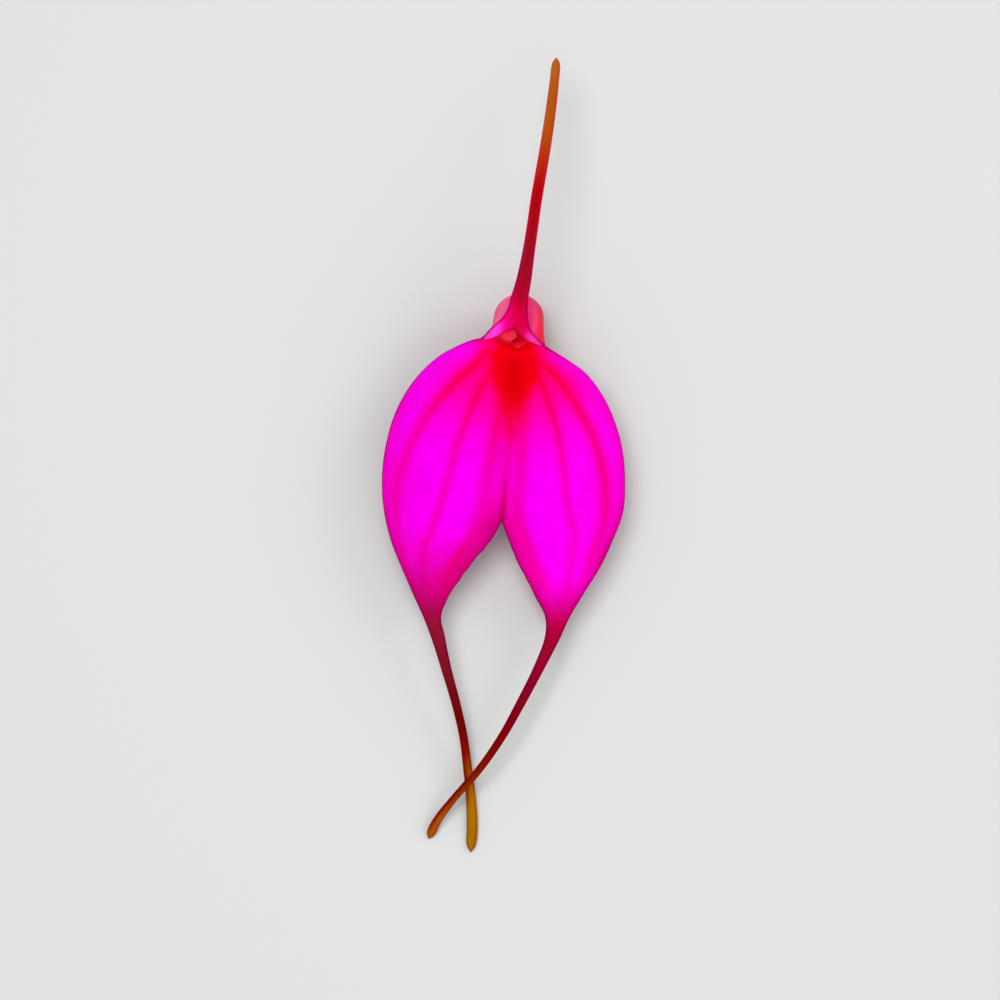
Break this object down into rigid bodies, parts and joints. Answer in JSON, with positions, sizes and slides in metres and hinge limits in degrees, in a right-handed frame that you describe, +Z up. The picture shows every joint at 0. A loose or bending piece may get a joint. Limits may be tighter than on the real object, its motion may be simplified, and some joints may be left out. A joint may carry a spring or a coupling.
{
  "type": "masdevallia orchid flower",
  "caption": "Magenta masdevallia orchid bloom with long tails on its sepals and a short cut stem, lying on its back.",
  "frame": {"origin": "on the surface the flower lies on, below the middle of its bounding box", "axes": "+Z up from the surface, +Y the way the dorsal sepal's tail points, +X to the right seen from above"},
  "size_m": [0.0366, 0.1204, 0.017],
  "materials": {
    "sepals": "satin",
    "petals": "satin",
    "lip": "satin",
    "column": "satin",
    "ovary": "satin",
    "bract": "matte",
    "stem": "satin"
  },
  "bodies": {
    "root": {"sepals": "sepals", "petal_left": "petals", "petal_right": "petals", "lip": "lip", "column": "column", "ovary": "ovary", "floral_bract": "bract", "peduncle": "stem"}
  },
  "joints": []
}
